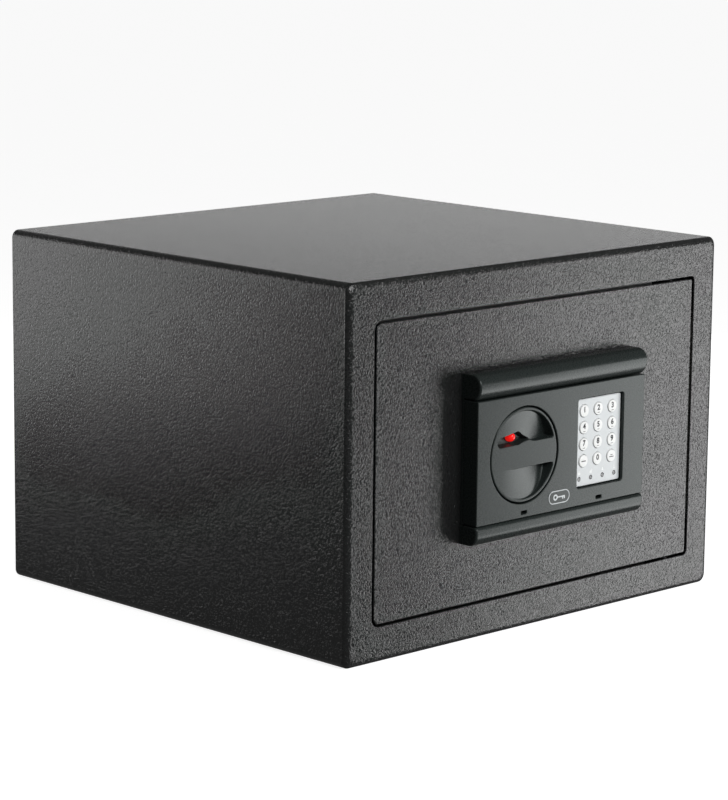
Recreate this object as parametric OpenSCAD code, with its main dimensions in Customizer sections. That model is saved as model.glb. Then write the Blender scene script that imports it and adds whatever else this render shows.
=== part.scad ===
// In-room safe: a flush-door steel cabinet with an electronic lock unit on the
// door, a turning knob that throws two bolts, and concealed pivot hinges.
// Millimetres. +Z is up, the door faces -Y and the hinges are at +X.
// The origin is the middle of the cabinet's footprint.

/* [Cabinet] */
// Outside width
body_w = 400; // [398:1:420]
// Outside depth, without the lock unit
body_d = 380; // [370:1:450]
// Outside height
body_h = 278; // [276:1:300]
// Sheet thickness of the wrap and the back
sheet = 2; // [1.5:0.5:2]
// Thickness of the front frame
frame_t = 4; // [3.5:0.5:4]
// Outside radius of the cabinet's long edges
corner_r = 6; // [3:0.5:6]
// Radius of the front frame's outer edge
edge_r = 3.5; // [2:0.5:3.5]
// Radius of the anchor holes in the floor and the back
anchor_r = 6; // [4:0.5:7]
// Spacing of each pair of anchor holes
anchor_span = 200; // [160:10:260]
// Thickness of the floor mat
mat_t = 3; // [2:0.5:5]

/* [Door] */
// Width of the door opening
opening_w = 348; // [346:1:350]
// Height of the door opening
opening_h = 222.5; // [222:0.5:224]
// Gap round the door, apart from the hinge side
door_gap = 2; // [1.5:0.5:2]
// Gap at the hinge side
hinge_gap = 2.5; // [2.5:0.1:3]
// Thickness of the door plate
door_t = 5; // [4:0.5:5]
// Depth of the inner cover behind the door plate
cover_d = 40; // [40:1:44]
// Thickness of the inner cover's sheet
cover_sheet = 1.2; // [1:0.1:1.5]

/* [Hinge] */
// Distance of the hinge axis from the door's edge
pivot_in = 18; // [18:0.5:20]
// Depth of the hinge axis behind the front face
pivot_deep = 9; // [8.5:0.1:9]
// Radius of the hinge pins
pin_r = 3; // [2.5:0.1:3]
// Running clearance on the hinge pins, on the radius
pin_play = 0.08; // [0.05:0.01:0.1]

/* [Bolts] */
// Radius of each bolt
bolt_r = 10; // [8:0.5:10]
// Height between the two bolts
bolt_span = 90; // [80:1:90]
// Length of each bolt
bolt_len = 43; // [40:1:43]
// Radius that the drive pin turns on
crank_r = 10; // [9:0.5:10]

/* [Lock unit] */
// Width of the lock unit
unit_w = 184; // [182:1:186]
// Height of the lock unit
unit_h = 127.8; // [127.5:0.1:129]
// How far the unit's middle lies from the door's middle
unit_x = 7; // [6:0.5:8]
// How far the flat fascia stands out from the door
fascia_out = 16.5; // [16:0.5:17]
// Height of the flat fascia
fascia_h = 92.6; // [92:0.1:92.6]
// Wall thickness of the mouldings
wall = 2; // [1.5:0.5:2]
// Radius of the knob
knob_r = 35.7; // [35:0.1:36]
// Half the height of the knob's grip bar
grip_half = 9.1; // [8.5:0.1:10]
// Depth of the knob's finger scoops at their deep side
scoop_deep = 9; // [7:0.5:9]

/* [Keypad] */
// Radius of a key
key_r = 4.75; // [4.5:0.05:4.9]
// Spacing of the key columns
key_dx = 15.75; // [15.5:0.05:16]
// Spacing of the key rows
key_dz = 12.8; // [12.6:0.1:13]
// How far a key stands above its plate
key_proud = 0.8; // [0.6:0.1:1]

/* [Hidden] */
$fn = 48;

front_y = -body_d / 2;
opening_z0 = 26.5;
opening_z1 = opening_z0 + opening_h;
opening_x = opening_w / 2;
mid_z = (opening_z0 + opening_z1) / 2;
door_x0 = -opening_x + door_gap;
door_x1 = opening_x - hinge_gap;
door_z0 = opening_z0 + door_gap;
door_z1 = opening_z1 - door_gap;
door_back = front_y + door_t;
pivot_x = door_x1 - pivot_in;
pivot_y = front_y + pivot_deep;
stop_y = door_back + 0.5;
eps = 0.01;

// The bolt carrier runs between the cam disc and the bolts.
knob_x = unit_x - 41.5;
knob_z = mid_z - 0.5;
throw = crank_r * sqrt(2);
cam_y = door_back + 1.5;
cam_t = 3;
carrier_y = cam_y + cam_t + 3.5;
carrier_t = 3;
bolt_y = carrier_y + carrier_t + 0.5 + bolt_r;
bolt_x0 = -opening_x + 2;
carrier_x0 = bolt_x0 + bolt_len;
carrier_x1 = knob_x + 20.5;
carrier_z0 = knob_z - 54.5;
carrier_z1 = knob_z + 55.5;
post_x = knob_x - 25.5;
post_dz = 27.5;
post_r = 3.5;
spindle_r = 4;
drive_r = 3;
drive_slot = 3.4;

// The solenoid stands under the carrier and its plunger rises into a notch.
plunger_x = carrier_x0 + 30;
plunger_y = carrier_y + carrier_t / 2;
plunger_r = 3;
plunger_tip = carrier_z0 - 5;
plunger_stroke = 7;
notch_x0 = plunger_x + 6.7;
notch_x1 = plunger_x + throw + plunger_r + 0.6;
notch_h = 6;
coil_z0 = plunger_tip - 30;
coil_h = 18;
collar_z = plunger_tip - 5;

// The lock unit's own edges.
unit_x0 = unit_x - unit_w / 2;
unit_x1 = unit_x + unit_w / 2;
unit_z0 = mid_z + 0.75 - unit_h / 2;
unit_z1 = unit_z0 + unit_h;
fascia_z0 = unit_z0 + 15.4;
fascia_z1 = fascia_z0 + fascia_h;
fascia_y = front_y - fascia_out;
seam = 0.4;
knob_gap = 0.7;
knob_y = fascia_y + 0.3;
knob_t = 13;
rim = 3.1;

// The keypad sits in a window in the fascia.
pad_x = unit_x + 42.9;
pad_w = 48.6;
pad_h = 66.7;
pad_z0 = fascia_z0 + 14;
pad_y = fascia_y + 2.7;
pad_t = 1.2;
pad_gap = 0.9;
keys_x = pad_x - 1.1;
keys_z = pad_z0 + pad_h - 9.2;
key_len = 3;
led_z = pad_z0 + 5.5;
led_r = 1.4;
led_dx = 13.2;
board_y = pad_y + 5;

cover_x0 = bolt_x0 + 13;
cover_x1 = 126;
cover_z0 = 45;
cover_z1 = 231;
cover_y = door_back + cover_d;
cell_r = 7.1;
cell_len = 50.5;
box_x0 = 57;
box_x1 = 121;
box_z0 = 100;
box_z1 = 158;
box_y = cover_y - 18.6;
reset_x = 90;
reset_z = 182;
cable_x = 40;
cable_z = 165;

paint = [0.12, 0.12, 0.12];
moulding = [0.10, 0.11, 0.11];
steel = [0.72, 0.72, 0.74];
oiled_steel = [0.18, 0.18, 0.19];
brass = [0.75, 0.6, 0.3];

// A flat shape in X and Z, thick from y0 to y1.
module slab(y0, y1) {
    translate([0, y1, 0]) rotate([90, 0, 0]) linear_extrude(y1 - y0) children();
}

// A profile in Y and Z, long from x0 to x1.
module bar(x0, x1) {
    translate([x0, 0, 0]) rotate([90, 0, 90]) linear_extrude(x1 - x0) children();
}

module box(x0, x1, y0, y1, z0, z1) {
    translate([x0, y0, z0]) cube([x1 - x0, y1 - y0, z1 - z0]);
}

module rod_y(x, z, y0, y1, r) {
    translate([x, y1, z]) rotate([90, 0, 0]) cylinder(h = y1 - y0, r = r);
}

module rod_x(y, z, x0, x1, r) {
    translate([x0, y, z]) rotate([0, 90, 0]) cylinder(h = x1 - x0, r = r);
}

module rod_z(x, y, z0, z1, r) {
    translate([x, y, z0]) cylinder(h = z1 - z0, r = r);
}

// A rectangle with rounded corners: ra at its low-x side and rb at its high-x side.
module round_rect(x0, x1, z0, z1, ra, rb) {
    polygon([
        [x0 + ra, z0], [x1 - rb, z0], [x1, z0 + rb], [x1, z1 - rb],
        [x1 - rb, z1], [x0 + ra, z1], [x0, z1 - ra], [x0, z0 + ra]
    ]);
    for (z = [z0 + ra, z1 - ra]) translate([x0 + ra, z]) circle(ra);
    for (z = [z0 + rb, z1 - rb]) translate([x1 - rb, z]) circle(rb);
}

// A slot along X, its round ends centred on x0 and x1.
module slot_x(x0, x1, z, r) {
    translate([x0, z - r]) square([x1 - x0, 2 * r]);
    for (x = [x0, x1]) translate([x, z]) circle(r);
}

module outline(inset, r) {
    round_rect(-body_w / 2 + inset, body_w / 2 - inset, inset, body_h - inset, r, r);
}

function arc(cx, cz, r, a0, a1, n = 8) =
    [for (i = [0:n]) let (a = a0 + (a1 - a0) * i / n) [cx + r * cos(a), cz + r * sin(a)]];

// ---- Cabinet ----

module anchor_pair_floor(r, z0, z1) {
    for (s = [-1, 1]) rod_z(s * anchor_span / 2, 30, z0, z1, r);
}

module body_wrap() {
    color(paint) difference() {
        slab(front_y + frame_t, body_d / 2) difference() {
            outline(0, corner_r);
            outline(sheet, corner_r - sheet);
        }
        anchor_pair_floor(anchor_r, -1, sheet + 1);
    }
}

module front_frame() {
    steps = 4;
    color(paint) difference() {
        hull() for (i = [0:steps]) {
            a = 90 * i / steps;
            inset = edge_r * (1 - cos(a));
            y = front_y + edge_r * (1 - sin(a));
            slab(y, front_y + frame_t) outline(inset, corner_r, $fn = 32);
        }
        slab(front_y - 1, front_y + frame_t + 1)
            round_rect(-opening_x, opening_x, opening_z0, opening_z1, 7, 3.5);
    }
}

module back_panel() {
    y1 = body_d / 2 - 1;
    color(paint) difference() {
        slab(y1 - sheet, y1) outline(sheet, corner_r - sheet);
        for (s = [-1, 1])
            rod_y(s * anchor_span / 2, mid_z + 40, y1 - sheet - 1, y1 + 1, anchor_r);
    }
}

// A channel behind the frame on the lock side, for the bolts to bear on, with
// two tabs that stop the door.
module lock_jamb() {
    x0 = -body_w / 2 + sheet;
    x1 = -opening_x - 1;
    y1 = bolt_y - bolt_r - 0.5;
    y0 = front_y + frame_t;
    color(paint) {
        translate([0, 0, 14]) linear_extrude(body_h - 28)
            polygon([[x1 - sheet, y0], [x1, y0], [x1, y1], [x0, y1], [x0, y1 - sheet],
                     [x1 - sheet, y1 - sheet]]);
        for (z = [40, 206]) box(x1 - eps, x1 + 9, stop_y, stop_y + sheet, z, z + 30);
    }
}

module door_stops() {
    y0 = front_y + frame_t;
    color(paint) for (s = [-1, 1])
        bar(-165, 130) translate([0, mid_z]) scale([1, s])
            polygon([[y0, opening_h / 2], [stop_y, opening_h / 2],
                     [stop_y, opening_h / 2 - 8], [stop_y + sheet, opening_h / 2 - 8],
                     [stop_y + sheet, opening_h / 2 + sheet], [y0, opening_h / 2 + sheet]]);
}

module hinge_bracket(z0, z1) {
    color(paint) difference() {
        box(pivot_x - 10.5, pivot_x + 11.5, front_y + frame_t, pivot_y + 8, z0, z1);
        rod_z(pivot_x, pivot_y, z0 - 1, z1 + 1, pin_r);
    }
}

module hinge_brackets() {
    hinge_bracket(opening_z0 - 12, opening_z0 - 0.5);
    hinge_bracket(opening_z1 + 0.5, opening_z1 + 12);
}

module hinge_pins() {
    color(oiled_steel) {
        rod_z(pivot_x, pivot_y, opening_z0 - 12, door_z0 + 18, pin_r);
        rod_z(pivot_x, pivot_y, door_z1 - 18, opening_z1 + 12, pin_r);
    }
}

module hinge_washer() {
    color(oiled_steel) difference() {
        rod_z(pivot_x, pivot_y, opening_z0 - 0.5, door_z0 - 0.1, 4.7);
        rod_z(pivot_x, pivot_y, opening_z0 - 1, door_z0, pin_r + 0.1);
    }
}

module floor_mat() {
    color([0.16, 0.16, 0.17]) difference() {
        box(-body_w / 2 + 6, body_w / 2 - 6, front_y + 20, body_d / 2 - 5,
            sheet, sheet + mat_t);
        anchor_pair_floor(12, 0, sheet + mat_t + 1);
    }
}

// ---- Door ----

screw_x = [-130, -15, 100];
cover_screw_z = [cover_z0 - 4.5, cover_z1 + 4.5];
unit_screw_x = [unit_x0 + 8, unit_x1 - 8];
unit_screw_z = [unit_z0 + 8, unit_z1 - 8.5];

module door_plate() {
    color(paint) difference() {
        slab(front_y, door_back) round_rect(door_x0, door_x1, door_z0, door_z1, 5, 2);
        rod_y(knob_x, knob_z, front_y - 1, door_back + 1, 7);
        rod_y(cable_x, cable_z, front_y - 1, door_back + 1, 6);
        for (x = unit_screw_x, z = unit_screw_z)
            rod_y(x, z, front_y - 1, door_back + 1, 2.3);
        for (x = screw_x, z = cover_screw_z)
            rod_y(x, z, front_y + 1.5, door_back + 1, 2);
        for (dz = [-post_dz, post_dz])
            rod_y(post_x, knob_z + dz, front_y + 1.5, door_back + 1, 2);
    }
}

module hinge_lug(z0, z1) {
    color(oiled_steel) difference() {
        box(pivot_x - 6, pivot_x + 6, door_back, pivot_y + 6, z0, z1);
        rod_z(pivot_x, pivot_y, z0 - 1, z1 + 1, pin_r + pin_play);
    }
}

module hinge_lugs() {
    hinge_lug(door_z0, door_z0 + 20);
    hinge_lug(door_z1 - 20, door_z1);
}

// A fixed bar that hooks behind the frame, so the door can't be levered out
// at the hinge side.
module hinge_side_bar() {
    color(steel) box(door_x1 - 9.5, opening_x + 8, door_back, door_back + 3,
                     mid_z - 78, mid_z + 78);
}

module inner_cover() {
    t = cover_sheet;
    color([0.2, 0.2, 0.2]) difference() {
        union() {
            box(cover_x0, cover_x1, door_back, cover_y, cover_z0, cover_z1);
            box(cover_x0 + 10, cover_x1 + 9, door_back, door_back + t,
                cover_z0 - 9, cover_z1 + 9);
        }
        box(cover_x0 + t, cover_x1 - t, door_back - 1, cover_y - t,
            cover_z0 + t, cover_z1 - t);
        for (s = [-1, 1])
            rod_x(bolt_y, knob_z + s * bolt_span / 2, cover_x0 - 1, cover_x0 + t + 1,
                  bolt_r + 0.6);
        for (x = screw_x, z = cover_screw_z)
            rod_y(x, z, door_back - 1, door_back + t + 1, 2.2);
        box(box_x0 - 2.3, box_x1 + 2.3, cover_y - t - 1, cover_y + 1,
            box_z0 - 2.3, box_z1 + 2.3);
        rod_y(reset_x, reset_z, cover_y - t - 1, cover_y + 1, 4.4);
    }
}

// Pan-head screws that stand on the flange and reach into the door plate.
module pan_screw(x, z, y_tip, y_head, r) {
    rod_y(x, z, y_tip, y_head, r);
    difference() {
        rod_y(x, z, y_head, y_head + 2.4, 3.6);
        box(x - 0.4, x + 0.4, y_head + 1.2, y_head + 3, z - 2.2, z + 2.2);
        box(x - 2.2, x + 2.2, y_head + 1.2, y_head + 3, z - 0.4, z + 0.4);
    }
}

module cover_screws() {
    color(steel) for (x = screw_x, z = cover_screw_z)
        pan_screw(x, z, front_y + 1.5, door_back + cover_sheet, 2);
}

module bolt_guide() {
    x0 = cover_x0 + cover_sheet + 0.8;
    color(steel) difference() {
        union() {
            box(x0, x0 + 3, door_back, bolt_y + bolt_r + 2, knob_z - 62, knob_z + 62);
            box(x0 + 2.9, x0 + 16, door_back, door_back + 3, knob_z - 62, knob_z + 62);
        }
        for (s = [-1, 1])
            rod_x(bolt_y, knob_z + s * bolt_span / 2, x0 - 1, x0 + 4, bolt_r + 0.1);
    }
}

module guide_posts() {
    head_y = carrier_y + carrier_t + 0.2;
    color(steel) for (dz = [-post_dz, post_dz]) {
        rod_y(post_x, knob_z + dz, front_y + 1.5, door_back + eps, 2);
        rod_y(post_x, knob_z + dz, door_back, head_y, post_r);
        rod_y(post_x, knob_z + dz, head_y - eps, head_y + 2, 6);
    }
}

module solenoid_frame() {
    x = plunger_x;
    color(steel) difference() {
        union() {
            for (z = [coil_z0, coil_z0 + coil_h - 2])
                box(x - 10, x + 10, door_back, plunger_y + 9.5, z, z + 2);
            box(x - 10, x + 10, door_back, door_back + 1.2, coil_z0, coil_z0 + coil_h);
        }
        rod_z(x, plunger_y, coil_z0 - 1, coil_z0 + coil_h + 1, plunger_r + 0.2);
    }
}

module solenoid_coil() {
    color([0.55, 0.25, 0.1]) difference() {
        rod_z(plunger_x, plunger_y, coil_z0 + 2, coil_z0 + coil_h - 2, 8);
        rod_z(plunger_x, plunger_y, coil_z0, coil_z0 + coil_h, plunger_r + 0.2);
    }
}

module control_board() {
    y0 = door_back + 7;
    x0 = 1;
    x1 = 51;
    z0 = 140;
    z1 = 200;
    color([0.05, 0.3, 0.12]) {
        box(x0, x1, y0, y0 + 1.6, z0, z1);
        for (x = [x0 + 4, x1 - 4], z = [z0 + 4, z1 - 4])
            rod_y(x, z, door_back, y0 + eps, 2.5);
        box(x0 + 8, x0 + 20, y0 + 1.5, y0 + 3.6, z0 + 22, z0 + 34);
        box(x0 + 8, x0 + 24, y0 + 1.5, y0 + 8, z0 + 6, z0 + 12);
        rod_y(x0 + 14, z0 + 48, y0 + 1.5, y0 + 11, 4);
        rod_y(x0 + 26, z0 + 48, y0 + 1.5, y0 + 9, 3);
    }
}

module battery_box() {
    color([0.08, 0.08, 0.08]) difference() {
        box(box_x0, box_x1, box_y, cover_y - cover_sheet - 0.3, box_z0, box_z1);
        box(box_x0 + 1.5, box_x1 - 1.5, box_y + 1.5, cover_y, box_z0 + 1.5, box_z1 - 1.5);
    }
}

// A sprung contact at one end of each cell and a flat one at the other.
module battery_contacts() {
    pitch = (box_x1 - box_x0 - 3) / 4;
    color(steel) for (i = [0:3]) {
        x = box_x0 + 1.5 + pitch * (i + 0.5);
        up = i % 2 == 0;
        z_flat = up ? box_z1 - 1.9 : box_z0 + 1.5;
        z_cone = up ? box_z0 + 1.5 : box_z1 - 3.2;
        box(x - 5, x + 5, box_y + 3, box_y + 14, z_flat, z_flat + 0.4);
        translate([x, box_y + 8.9, z_cone])
            cylinder(h = 1.7, r1 = up ? 4 : 2.2, r2 = up ? 2.2 : 4);
    }
}

module batteries() {
    pitch = (box_x1 - box_x0 - 3) / 4;
    color([0.2, 0.35, 0.3]) for (i = [0:3]) {
        x = box_x0 + 1.5 + pitch * (i + 0.5);
        up = i % 2 == 0;
        z0 = up ? box_z0 + 3.3 : box_z1 - 3.3 - cell_len + 1;
        rod_z(x, box_y + 8.9, z0, z0 + cell_len - 1, cell_r);
        z_nub = up ? z0 + cell_len - 1 - eps : z0 - 1;
        rod_z(x, box_y + 8.9, z_nub, z_nub + 1 + eps, 2.7);
    }
}

module lock_cable() {
    color([0.5, 0.5, 0.52]) rod_y(cable_x, cable_z, board_y + 1.6, door_back + 7, 2.4);
}

module cable_grommet() {
    color([0.05, 0.05, 0.05]) difference() {
        union() {
            rod_y(cable_x, cable_z, front_y, door_back + 1.5, 6);
            rod_y(cable_x, cable_z, door_back, door_back + 1.5, 8);
        }
        rod_y(cable_x, cable_z, front_y - 1, door_back + 3, 2.6);
    }
}

module spindle_bush() {
    color(brass) difference() {
        union() {
            rod_y(knob_x, knob_z, front_y - eps, door_back, 6.95);
            rod_y(knob_x, knob_z, front_y - 1.8, front_y, 9.5);
        }
        rod_y(knob_x, knob_z, front_y - 3, door_back + 1, spindle_r + 0.06);
    }
}

// ---- Lock unit ----

// Side view of the housing, in Y and Z: a fat roll along the top, a slimmer one
// along the bottom and a flat back between them. w thins it for the inside.
function top_roll(w) = concat(
    arc(front_y - 10, unit_z1 - 9, 9 - w, 90, 180),
    arc(front_y - 6, unit_z1 - 9, 13 - w, 180, 231)
);
function bottom_roll(w) = concat(
    arc(front_y - 14, unit_z0 + 11.8, 3.2 - w, 90, 180),
    arc(front_y - 8.2, unit_z0 + 9, 9 - w, 180, 270)
);

module roll_profile(points, z_back, w) {
    polygon(concat([[front_y - w, z_back[0]]], points, [[front_y - w, z_back[1]]]));
}

module lock_housing() {
    z_top = [unit_z1, fascia_z1 + seam];
    z_low = [fascia_z0 - seam, unit_z0];
    color(moulding) difference() {
        union() {
            bar(unit_x0, unit_x1) roll_profile(top_roll(0), z_top, 0);
            bar(unit_x0, unit_x1) roll_profile(bottom_roll(0), z_low, 0);
            box(unit_x0, unit_x1, front_y - wall, front_y, unit_z0 + 9, unit_z1 - 9);
        }
        difference() {
            union() {
                bar(unit_x0 + wall, unit_x1 - wall)
                    roll_profile(top_roll(wall), [unit_z1 - wall, fascia_z1 + seam + wall], wall);
                bar(unit_x0 + wall, unit_x1 - wall)
                    roll_profile(bottom_roll(wall), [fascia_z0 - seam - wall, unit_z0 + wall], wall);
            }
            for (x = unit_screw_x, z = unit_screw_z)
                rod_y(x, z, front_y - 11, front_y, 4);
        }
        for (x = unit_screw_x, z = unit_screw_z)
            rod_y(x, z, front_y - 10, front_y + 1, 2);
        rod_y(knob_x, knob_z, front_y - wall - 1, front_y + 1, 12);
        rod_y(cable_x, cable_z, front_y - wall - 1, front_y + 1, 7);
    }
}

module housing_screws() {
    color(steel) for (x = unit_screw_x, z = unit_screw_z)
        pan_screw(x, z, front_y - 9, door_back, 2);
}

module fascia() {
    y1 = front_y - wall;
    r = 1.2;
    color(moulding) difference() {
        union() {
            box(unit_x0 + 0.2, unit_x1 - 0.2, fascia_y + r, y1, fascia_z0, fascia_z1);
            box(unit_x0 + 0.2 + r, unit_x1 - 0.2 - r, fascia_y, fascia_y + r + eps,
                fascia_z0, fascia_z1);
            for (x = [unit_x0 + 0.2 + r, unit_x1 - 0.2 - r])
                rod_z(x, fascia_y + r, fascia_z0, fascia_z1, r);
        }
        box(unit_x0 + wall, unit_x1 - wall, fascia_y + wall, y1 + 1,
            fascia_z0 + wall, fascia_z1 - wall);
        rod_y(knob_x, knob_z, fascia_y - 1, fascia_y + wall + 1, knob_r + knob_gap);
        slab(fascia_y - 1, fascia_y + wall + 1) pad_outline(pad_gap);
        for (x = [knob_x + 0.5, pad_x - 0.1])
            box(x - 3, x + 3, fascia_y - 1, fascia_y + wall + 1,
                fascia_z0 + 2.6, fascia_z0 + 5);
    }
    color(moulding) slab(fascia_y + wall, board_y) difference() {
        pad_outline(pad_gap + 1.2);
        pad_outline(pad_gap);
    }
}

module pad_outline(extra) {
    round_rect(pad_x - pad_w / 2 - extra, pad_x + pad_w / 2 + extra,
               pad_z0 - extra, pad_z0 + pad_h + extra, 1.8 + extra, 1.8 + extra);
}

// The place of key i, counted from the top left, row by row.
function key_at(i) = [keys_x + (i % 3 - 1) * key_dx, keys_z - floor(i / 3) * key_dz];

module keypad_plate() {
    color([0.78, 0.8, 0.8]) difference() {
        slab(pad_y, pad_y + pad_t) pad_outline(0);
        for (i = [0:11])
            rod_y(key_at(i)[0], key_at(i)[1], pad_y - 1, pad_y + pad_t + 1, key_r + 0.2);
        for (i = [0:3])
            rod_y(keys_x + (i - 1.5) * led_dx, led_z, pad_y - 1, pad_y + pad_t + 1, led_r);
    }
}

// The rubber mat under the keys, with a raised border that carries the plate.
module key_mat() {
    y0 = pad_y - key_proud + key_len + 0.9;
    color([0.3, 0.3, 0.32]) difference() {
        union() {
            slab(y0, board_y) pad_outline(0.5);
            slab(pad_y + pad_t, y0 + eps) difference() {
                pad_outline(-0.2);
                pad_outline(-1.6);
            }
        }
        for (i = [0:3])
            rod_y(keys_x + (i - 1.5) * led_dx, led_z, y0 - 1, board_y + 1, led_r + 0.2);
    }
}

module keypad_board() {
    color([0.05, 0.3, 0.12])
        box(pad_x - 27, pad_x + 29, board_y, board_y + 1.6, pad_z0 - 4, pad_z0 + pad_h + 4);
}

module led_lenses() {
    color([0.35, 0.36, 0.36]) for (i = [0:3])
        rod_y(keys_x + (i - 1.5) * led_dx, led_z, pad_y + 0.1, board_y, led_r - 0.02);
}

// A plain pill-shaped plate on the fascia.
module badge() {
    z = fascia_z0 + 10.2;
    color([0.8, 0.8, 0.8]) slab(fascia_y - 0.4, fascia_y)
        slot_x(unit_x - 9.5, unit_x + 3.5, z, 5);
}

// ---- Knob and what turns with it ----

module scoop(s) {
    x0 = knob_x - 28;
    x1 = knob_x + knob_r;
    intersection() {
        rod_y(knob_x, knob_z, knob_y - 1, knob_y + knob_t, knob_r - rim);
        translate([0, 0, s > 0 ? knob_z + grip_half : knob_z - grip_half - 40])
            linear_extrude(40)
                polygon([[x0, knob_y], [x0, knob_y - 1], [x1, knob_y - 1],
                         [x1, knob_y + scoop_deep], [x1 - 8, knob_y + scoop_deep]]);
    }
}

// A pocket cut in the grip bar's upper edge, where the lens sits.
module pocket() {
    slab(knob_y - 1, knob_y + 6.5) translate([knob_x, knob_z])
        polygon(concat(arc(-25.4, 11.8, 3.6, 105, 265, 6), [[-14, 8.3], [-6, 9.4], [1, 11.2]],
                       arc(-8.5, 13.2, 5, 10, 100, 5)));
}

module knob() {
    color(moulding) difference() {
        union() {
            rod_y(knob_x, knob_z, knob_y + 0.8, knob_y + knob_t, knob_r);
            translate([knob_x, knob_y + 0.81, knob_z]) rotate([90, 0, 0])
                cylinder(h = 0.81, r1 = knob_r, r2 = knob_r - 0.8);
        }
        scoop(1);
        scoop(-1);
        pocket();
        rod_y(knob_x, knob_z, knob_y + knob_t - 7, knob_y + knob_t + 1, spindle_r);
    }
}

module knob_lens() {
    x = knob_x - 12.2;
    z = knob_z + 13.5;
    color([0.9, 0.05, 0.03]) union() {
        rod_y(x, z, knob_y + 5, knob_y + 6.5, 3.6);
        intersection() {
            translate([x, knob_y + 5.2, z]) sphere(3.6);
            rod_y(x, z, knob_y, knob_y + 5.1, 4);
        }
    }
}

module spindle() {
    color(steel) difference() {
        rod_y(knob_x, knob_z, knob_y + knob_t - 7, cam_y, spindle_r);
        rod_y(knob_x, knob_z, cam_y - 8, cam_y + 1, 2);
    }
}

module cam_disc() {
    color(steel) difference() {
        rod_y(knob_x, knob_z, cam_y, cam_y + cam_t, 14);
        rod_y(knob_x, knob_z, cam_y - 1, cam_y + cam_t + 1, 2);
    }
}

module cam_screw() {
    color(steel) {
        rod_y(knob_x, knob_z, cam_y - 8, cam_y + cam_t + eps, 2);
        rod_y(knob_x, knob_z, cam_y + cam_t, cam_y + cam_t + 2.4, 3.6);
    }
}

module drive_pin() {
    a = crank_r * sqrt(0.5);
    color(steel) rod_y(knob_x + a, knob_z + a, cam_y + cam_t, carrier_y + carrier_t + 1.5,
                       drive_r);
}

// ---- Bolts ----

module bolt_carrier() {
    a = crank_r * sqrt(0.5);
    color(steel) difference() {
        union() {
            box(carrier_x0, carrier_x1, carrier_y, carrier_y + carrier_t,
                carrier_z0, carrier_z1);
            for (s = [-1, 1])
                box(carrier_x0, carrier_x0 + 3, carrier_y + eps, bolt_y + bolt_r,
                    knob_z + s * bolt_span / 2 - bolt_r, knob_z + s * bolt_span / 2 + bolt_r);
        }
        slab(carrier_y - 1, carrier_y + carrier_t + 1) {
            for (dz = [-post_dz, post_dz])
                slot_x(post_x, post_x + throw, knob_z + dz, post_r + 0.1);
            translate([knob_x + a - drive_slot, knob_z + a - 4])
                square([2 * drive_slot, 11]);
            translate([notch_x0, carrier_z0 - 1]) square([notch_x1 - notch_x0, notch_h + 1]);
            translate([carrier_x0 + 14, knob_z - 12]) square([30, 24]);
        }
    }
}

module bolt(s) {
    z = knob_z + s * bolt_span / 2;
    color(steel) {
        rod_x(bolt_y, z, bolt_x0 + 2, bolt_x0 + bolt_len, bolt_r);
        translate([bolt_x0, bolt_y, z]) rotate([0, 90, 0])
            cylinder(h = 2 + eps, r1 = bolt_r - 2, r2 = bolt_r);
    }
}

module bolt_upper() { bolt(1); }

module bolt_lower() { bolt(-1); }

module plunger() {
    x = plunger_x;
    y = plunger_y;
    color(steel) {
        rod_z(x, y, coil_z0 + 3, coil_z0 + coil_h - 3, plunger_r);
        rod_z(x, y, coil_z0 + coil_h - 3 - eps, collar_z, 2);
        rod_z(x, y, collar_z - eps, collar_z + 2, 4.6);
        rod_z(x, y, collar_z + 2 - eps, plunger_tip, plunger_r);
    }
}

// A compression spring round the plunger's neck.
module plunger_spring() {
    turns = 4;
    per_turn = 16;
    sides = 6;
    wire = 0.4;
    mean_r = 3.3;
    z0 = coil_z0 + coil_h + 0.5;
    rise = collar_z - 0.5 - z0;
    rings = turns * per_turn;
    points = [for (i = [0:rings], j = [0:sides - 1])
        let (a = 360 * i / per_turn, b = 360 * j / sides, r = mean_r + wire * cos(b))
        [plunger_x + r * cos(a), plunger_y + r * sin(a),
         z0 + rise * i / rings + wire * sin(b)]];
    walls = [for (i = [0:rings - 1], j = [0:sides - 1])
        let (p = i * sides, k = (j + 1) % sides)
        [p + j, p + sides + j, p + sides + k, p + k]];
    color(steel) polyhedron(points = points, faces = concat(
        [[for (j = [0:sides - 1]) j]],
        [[for (j = [0:sides - 1]) rings * sides + sides - 1 - j]],
        walls));
}

// ---- Keys, reset button and battery cover ----

module key_cap(i) {
    p = key_at(i);
    y = pad_y - key_proud;
    color([0.9, 0.9, 0.88]) {
        rod_y(p[0], p[1], y + 0.4, y + key_len, key_r);
        rod_y(p[0], p[1], pad_y + pad_t + 0.2, y + key_len, key_r + 0.8);
        translate([p[0], y + 0.41, p[1]]) rotate([90, 0, 0])
            cylinder(h = 0.41, r1 = key_r, r2 = key_r - 0.5);
    }
}

// The switch that the reset button presses, on a bracket behind the cover.
module reset_switch() {
    y1 = cover_y - cover_sheet;
    color(steel) {
        for (s = [-1, 1])
            box(reset_x + s * 7.6 - 0.6, reset_x + s * 7.6 + 0.6, cover_y - 17, y1,
                reset_z - 6, reset_z + 6);
        box(reset_x - 8.2, reset_x + 8.2, cover_y - 17, cover_y - 15.8,
            reset_z - 6, reset_z + 6);
        rod_y(reset_x, reset_z, cover_y - 15.9, cover_y - 14.2, 3);
    }
}

module reset_button() {
    color([0.7, 0.08, 0.06]) {
        rod_y(reset_x, reset_z, cover_y - 12, cover_y + 2.5, 4);
        rod_y(reset_x, reset_z, cover_y - 12, cover_y - cover_sheet - 0.1, 6);
    }
}

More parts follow.
